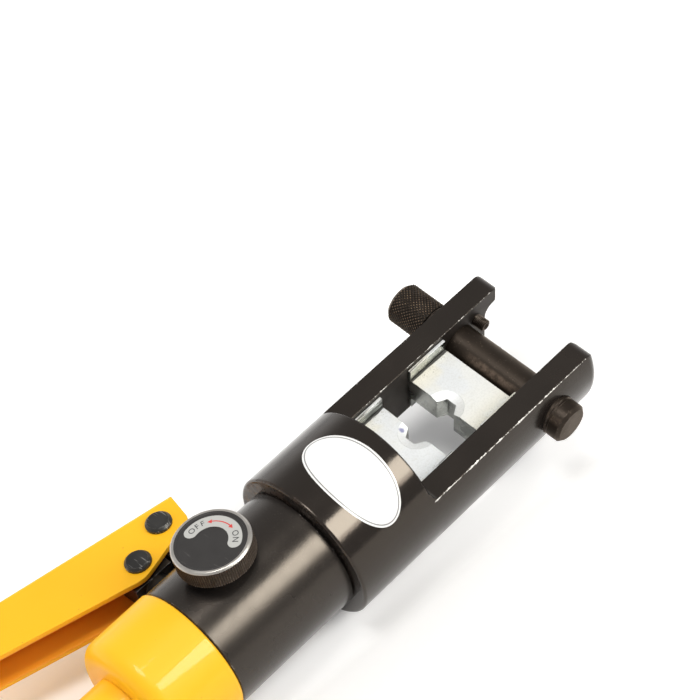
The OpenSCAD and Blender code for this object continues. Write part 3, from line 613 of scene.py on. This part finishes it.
def make_pin_grip():
    """The lock pin's grip, with a diamond knurl between two plain leads."""
    r, y0, y1, depth = 10.4, GRIP_FROM, 59.1, 0.5
    per_tooth, sharp_angle = 6, 50
    knurl_from, plain_length, spare, steepness = 0.8, 2.5, 2.2, 1.5
    first_lead = ((1.9, 0), (0.95, 0.02), (0.5, 0.5))
    last_lead = ((0.42, 1.5), (1.6, 0.08), (1.9, 0))
    around = GRIP_TEETH * per_tooth
    pitch = 2 * math.pi * r / GRIP_TEETH
    rows = [ring_row(r - inset, y0 + rise) for inset, rise in first_lead]
    steps = round((y1 - y0 - spare) / pitch * per_tooth)
    for j in range(steps + 1):
        y = y0 + knurl_from + (y1 - y0 - plain_length) * j / steps

        def row(a, i, y=y):
            u, v = a / (2 * math.pi) * GRIP_TEETH, (y - y0) / pitch
            cut = min(triangle_wave(u + v), triangle_wave(u - v))
            return r - depth + depth * min(1.0, cut * steepness), y

        rows.append(row)
    rows += [ring_row(r - inset, y1 - drop) for inset, drop in last_lead]
    verts, faces = lathe(rows, around)
    grip = new_piece("knurled_pin_grip", on_pin_axis(verts, PIN_X), faces, "pin_knurl", "lock_pin")
    split_sharp(grip, sharp_angle)
    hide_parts("pin_grip")


def make_knob():
    """The valve knob, with a straight knurl, a bright ring and a recess for its plate."""
    r, top_r, plate_r = 18.0, 17.1, 15.1
    z0, z1, depth, teeth = KNOB_TOP - 10, KNOB_TOP, 0.34, 104
    per_tooth, knurl_rows, sharp_angle = 4, 10, 35
    around = teeth * per_tooth

    def knurl(h, share):
        return lambda a, i: (r - 0.02 - depth * share * (0.0 if i % per_tooth < 2 else 1.0), h)

    # From the foot up the side, over the bright ring and down to the recess of the face plate
    rows = [ring_row(5.0, z0), ring_row(r - 1.3, z0), ring_row(r - 0.75, z0 + 0.35)]
    rows += [knurl(z0 + 0.9, 0.6)]
    rows += [
        knurl(z0 + 1.3 + (z1 - z0 - 3.0) * j / knurl_rows, 1.0) for j in range(knurl_rows + 1)
    ]
    rows += [knurl(z1 - 1.25, 0.6), ring_row(r - 0.10, z1 - 0.95)]
    ring_from = len(rows) - 1
    rows += [ring_row(top_r + 0.12, z1 - 0.08), ring_row(top_r - 0.1, z1 - 0.01)]
    rows += [ring_row(plate_r + 1.0, z1 - 0.01)]
    face_from = len(rows) - 1
    rows += [ring_row(plate_r + 0.2, z1 - 0.03), ring_row(plate_r, z1 - 0.15)]
    rows += [ring_row(plate_r, z1 - 0.8), ring_row(4.0, z1 - 0.8)]
    verts, faces = lathe(rows, around)
    verts = [(VALVE_X + p[0], p[1], p[2]) for p in verts]
    knob = new_piece("knurled_knob", verts, faces, "knob_steel", "release_valve")
    knob.data.materials.append(MATERIALS["knob_ring"])
    knob.data.materials.append(MATERIALS["knob_face"])
    for polygon in knob.data.polygons:
        row = polygon.vertices[0] // around
        if len(polygon.vertices) == 4 and row >= ring_from:
            polygon.material_index = 1 if row < face_from else 2
    split_sharp(knob, sharp_angle)
    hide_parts("valve_knob")


def on_knob(u, v, h):
    return (VALVE_X + u, v, h)


def polar(r, degrees):
    a = math.radians(degrees)
    return (r * math.cos(a), r * math.sin(a))


def knob_slab(name, outline, z0, z1, look):
    """Thin plate on the knob: an outline of (u, v) points between two heights."""
    n = len(outline)
    verts = [on_knob(u, v, h) for h in (z0, z1) for u, v in outline]
    faces = [tuple(range(n - 1, -1, -1)), tuple(range(n, 2 * n))]
    faces += [(i, (i + 1) % n, n + (i + 1) % n, n + i) for i in range(n)]
    return new_piece(name, verts, faces, look, "release_valve", smooth=False)


def make_knob_label():
    """The grey band on the knob's face, with a double arrow."""
    mid, half, first, last = 10.7, 3.0, 101.0, -59.0
    steps, cap = 56, 14
    film_top = KNOB_PLATE_TOP + 0.05
    outer = [polar(mid + half, first + (last - first) * i / steps) for i in range(steps + 1)]
    inner = [polar(mid - half, last + (first - last) * i / steps) for i in range(steps + 1)]

    def rounded_end(degrees):
        cx, cy = polar(mid, degrees)
        turn = [polar(half, degrees - 180 * k / cap) for k in range(1, cap)]
        return [(cx + u, cy + v) for u, v in turn]

    fx, fy = polar(mid, first)
    first_end = [(2 * fx - x, 2 * fy - y) for x, y in rounded_end(first)]
    outline = outer + rounded_end(last) + inner + first_end
    outline.reverse()
    label = knob_slab("knob_label", outline, KNOB_PLATE_TOP, film_top, "label_grey")

    a0, a1, half_line, half_head = 45.0, -6.0, 0.26, 1.05
    arc_steps = 24
    arc = [a0 + (a1 - a0) * i / arc_steps for i in range(arc_steps + 1)]
    line = [polar(mid + half_line, a) for a in arc]
    line += [polar(mid - half_line, a) for a in reversed(arc)]
    line.reverse()
    parts = [knob_slab("knob_arrow_line", line, film_top, KNOB_PLATE_TOP + 0.075, "print_red")]
    for name, base, tip in (("knob_arrow_off", 44.0, 55.0), ("knob_arrow_on", -5.0, -16.0)):
        head = [polar(mid + half_head, base), polar(mid, tip), polar(mid - half_head, base)]
        if tip < base:
            head.reverse()
        parts.append(knob_slab(name, head, film_top, KNOB_PLATE_TOP + 0.08, "print_red"))


def make_knob_letters():
    """The words OFF and ON, letter by letter round the grey band."""
    letters = (
        ("off_o", "O", 96.0),
        ("off_f1", "F", 80.0),
        ("off_f2", "F", 66.0),
        ("on_o", "O", -33.0),
        ("on_n", "N", -52.0),
    )
    size, half_thick, bolder, middle, r = 3.9, 0.0125, 0.02, 0.0625, 10.75
    for name, char, degrees in letters:
        curve = bpy.data.curves.new("letter", "FONT")
        curve.body = char
        curve.size = size * MM
        curve.align_x = "CENTER"
        curve.align_y = "CENTER"
        curve.extrude = half_thick * MM
        curve.offset = bolder * MM
        source = bpy.data.objects.new("letter", curve)
        bpy.context.scene.collection.objects.link(source)
        bpy.context.view_layer.update()
        shaped = source.evaluated_get(bpy.context.evaluated_depsgraph_get())
        mesh = bpy.data.meshes.new_from_object(shaped)
        bpy.data.objects.remove(source)
        bpy.data.curves.remove(curve)
        place = Vector(on_knob(*polar(r, degrees), KNOB_PLATE_TOP + middle)) * MM
        turn = Matrix.Rotation(math.radians(degrees - 90), 4, "Z")
        mesh.transform(Matrix.Translation(place) @ turn)
        obj = bpy.data.objects.new("knob_letter_" + name, mesh)
        bpy.context.scene.collection.objects.link(obj)
        dress(obj, "print_dark")
        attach(obj, "release_valve")


def on_barrel(x, arc, h):
    """Point h above the head's barrel, arc millimetres from its top towards the right arm."""
    r = HEAD_R + h
    a = arc / HEAD_R + HEAD_TURN
    return (x, -r * math.sin(a), r * math.cos(a))


def oval_patch(name, centre, semi, h0, h1, look, border=0.0):
    """Oval sheet that follows the barrel, or only its border line, if that has a width."""
    around, steps = 96, 10
    if border:
        ovals = [(semi[0] - border, semi[1] - border), semi]
    else:
        ovals = [(semi[0] * k / steps, semi[1] * k / steps) for k in range(1, steps + 1)]
    verts, faces = [], []
    for h in (h1, h0):
        for a, b in ovals:
            for i in range(around):
                t = 2 * math.pi * i / around
                x, arc = centre[0] + a * math.cos(t), centre[1] + b * math.sin(t)
                verts.append(on_barrel(x, arc, h))
    rings = len(ovals)
    layer = rings * around

    neighbours = [(i, (i + 1) % around) for i in range(around)]

    def add_face(corners, flip):
        faces.append(corners[::-1] if flip else corners)

    for side, flip in ((0, False), (layer, True)):
        for k in range(rings - 1):
            low, high = side + k * around, side + (k + 1) * around
            for i, j in neighbours:
                add_face((low + i, high + i, high + j, low + j), flip)
    walls = [((rings - 1) * around, False)]
    if border:
        walls.append((0, True))
    for rim, flip in walls:
        for i, j in neighbours:
            add_face((rim + i, rim + j, layer + rim + j, layer + rim + i), flip)
    if not border:
        faces.append(tuple(range(around - 1, -1, -1)))
        faces.append(tuple(range(layer, layer + around)))
    patch = new_piece(name, verts, faces, look, "frame")
    split_sharp(patch)
    return patch


def make_head_label():
    """A blank white oval on the barrel, with a thin grey line inside its edge."""
    centre = (-67.1, math.radians(11.4) * HEAD_R)
    sheet, sheet_top = (14.6, 28.0), 0.10
    keyline, line_foot, line_top, line_width = (13.7, 27.1), 0.09, 0.115, 0.5
    label = oval_patch("blank_label", centre, sheet, 0.0, sheet_top, "label_white")
    line = oval_patch(
        "label_border", centre, keyline, line_foot, line_top, "print_grey", border=line_width
    )


def make_stud():
    """The stop stud in the left arm, with its thread."""
    x, up, y0, y1, r = PIN_X + 12.73, 5.53, ARM_INNER - 6.3, 30.0, 3.0
    pitch, depth, around = 0.8, 0.42, 48
    rows = [ring_row(0.9, y0 + 0.6), ring_row(1.7, y0 + 0.05)]
    rows += [ring_row(r - 0.7, y0), ring_row(r - 0.25, y0 + 0.35)]
    y = y0 + 0.45
    while y < y1 - pitch:
        rows += [ring_row(r, y + 0.12), ring_row(r, y + 0.24)]
        rows += [ring_row(r - depth, y + 0.56), ring_row(r - depth, y + 0.66)]
        y += pitch
    rows += [ring_row(r - 0.3, y1)]
    verts, faces = lathe(rows, around)
    stud = new_piece(
        "threaded_stop_stud", on_pin_axis(verts, x, up), faces, "pin_oxide", "frame"
    )
    split_sharp(stud)
    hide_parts("stop_stud")


def make_spring():
    """Return spring inside the cylinder, built as a coil of one length held with the frame."""
    wire, turns, per_turn, sides, travel = 1.4, 4, 40, 12, 19.0
    low, high = (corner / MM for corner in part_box("return_spring"))
    r, rear, front = high.z - wire, low.x + wire, high.x - wire
    last = turns * per_turn
    verts = []
    for i in range(last + 1):
        a, x = 2 * math.pi * i / per_turn, rear + (front - rear) * i / last
        for k in range(sides):
            b = 2 * math.pi * k / sides
            out = r + wire * math.cos(b)
            verts.append((x + wire * math.sin(b), out * math.sin(a), -out * math.cos(a)))
    faces = [tuple(range(sides))]
    faces += [tuple(range(last * sides + sides - 1, last * sides - 1, -1))]
    for i in range(last):
        for k in range(sides):
            p, q = i * sides + k, i * sides + (k + 1) % sides
            faces.append((p, p + sides, q + sides, q))
    spring = new_piece("return_coil", verts, faces, "machined_steel", "frame")
    split_sharp(spring)
    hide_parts("return_spring")
    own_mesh(spring)


make_pin_grip()
make_knob()
make_knob_label()
make_knob_letters()
make_head_label()
make_stud()
make_spring()


# Floor, lights and camera


def floor_white():
    """White paper, with a faint glow that keeps the tool's shadows pale on both sides."""
    g = Graph("floor_white")
    along, across = g.split(g.place)[:2]
    paper = g.mix(g.noise(300, 3), (0.885, 0.885, 0.885), (0.905, 0.905, 0.905))
    g.set(Base_Color=paper, Roughness=0.6)
    left = g.range(across, 0.045, 0.105, 0.0, 0.32)
    shadow_edge = g.plus(across, g.times(along, 0.045))
    shadow_edge = g.plus(shadow_edge, g.range(along, 0.105, 0.135, 0.0, 0.005))
    right = g.range(shadow_edge, -0.0395, -0.0225, 0.0, 0.37)
    right = g.times(g.range(across, -0.006, -0.020), right)
    glow = g.times(g.plus(left, right), g.range(along, -0.34, -0.10))
    g.set(Emission_Color=(1, 1, 1, 1), Emission_Strength=glow)
    return g.material


FLOOR_SIZE = 8.0
FLOOR_PITCH = math.atan2(17.8, 390.0)  # the tool rests on its head and its handle's end
bpy.ops.mesh.primitive_plane_add(size=FLOOR_SIZE)
floor = bpy.context.object
floor.name = "floor"
floor.rotation_euler = (0, FLOOR_PITCH, 0)
floor.location = Vector((-88.0, 0, -38.0)) * MM
floor.data.materials.append(floor_white())


def softbox(name, place, target, size, power, colour=(1, 1, 1), hidden_from=()):
    """A soft lamp that the camera doesn't see, in metres and watts."""
    lamp = bpy.data.lights.new(name, "AREA")
    lamp.shape = "RECTANGLE"
    lamp.size, lamp.size_y = size
    lamp.energy = power
    lamp.color = colour
    obj = bpy.data.objects.new(name, lamp)
    bpy.context.scene.collection.objects.link(obj)
    obj.location = place
    aim = Vector(target) - Vector(place)
    obj.rotation_euler = aim.to_track_quat("-Z", "Y").to_euler()
    obj.visible_camera = False
    obj.visible_diffuse = "diffuse" not in hidden_from
    obj.visible_glossy = "glossy" not in hidden_from


KEY_AIM = (-0.08, 0, 0)
KEY_TINT = (1.0, 0.96, 0.90)
SHEEN_TINT = (0.95, 1.0, 0.95)
OVERHEAD_TINT = (1.0, 0.99, 0.97)
softbox("key", (0.48, -1.11, 0.92), KEY_AIM, (0.60, 0.76), 13, KEY_TINT)
softbox(
    "key_sheen", (0.455, -1.065, 0.965), KEY_AIM, (0.60, 0.62), 9.5, SHEEN_TINT,
    hidden_from=("diffuse",),
)
softbox("overhead", (-0.16, -0.14, 1.30), (0, 0, 0), (0.45, 0.45), 9, OVERHEAD_TINT)
softbox("fill", (-0.80, 1.00, 0.15), (-0.12, 0, 0), (0.9, 0.28), 5, hidden_from=("glossy",))


def studio_world():
    """A white backdrop behind the tool, a dim ceiling and a darker room on the camera's side."""
    backdrop, room, ceiling = 1.10, 0.42, 0.47
    world = bpy.data.worlds.new("studio")
    world.use_nodes = True
    tree = world.node_tree
    direction = tree.nodes.new("ShaderNodeTexCoord")
    parts = tree.nodes.new("ShaderNodeSeparateXYZ")
    tree.links.new(direction.outputs["Generated"], parts.inputs[0])

    def fade(socket, low, high, out_low, out_high):
        node = tree.nodes.new("ShaderNodeMapRange")
        node.interpolation_type = "SMOOTHSTEP"
        keys = ("From Min", "From Max", "To Min", "To Max")
        for key, value in zip(keys, (low, high, out_low, out_high)):
            if isinstance(value, bpy.types.NodeSocket):
                tree.links.new(value, node.inputs[key])
            else:
                node.inputs[key].default_value = value
        tree.links.new(socket, node.inputs["Value"])
        return node.outputs[0]

    horizon = fade(parts.outputs["Y"], -0.40, 0.60, room, backdrop)
    strength = fade(parts.outputs["Z"], 0.15, 0.60, horizon, ceiling)
    background = tree.nodes["Background"]
    tree.links.new(strength, background.inputs["Strength"])
    background.inputs["Color"].default_value = (1, 1, 1, 1)
    bpy.context.scene.world = world


studio_world()
bpy.context.scene.view_settings.view_transform = "Standard"

# The photo's camera: its axes in the tool's frame and its place, in metres
CAMERA_RIGHT = Vector((0.68571, -0.69555, -0.21450))
CAMERA_DOWN = Vector((-0.60949, -0.38759, -0.69159))
CAMERA_FORWARD = Vector((0.39789, 0.60497, -0.68971))
CAMERA_PLACE = (-0.4116, -0.5665, 0.7233)
camera_data = bpy.data.cameras.new("camera")
camera_data.sensor_width = 36.0
camera_data.lens = 113.4
camera_data.clip_start = 0.05
camera = bpy.data.objects.new("camera", camera_data)
bpy.context.scene.collection.objects.link(camera)
axes = Matrix((CAMERA_RIGHT, -CAMERA_DOWN, -CAMERA_FORWARD)).transposed().to_4x4()
camera.matrix_world = Matrix.Translation(CAMERA_PLACE) @ axes
bpy.context.scene.camera = camera
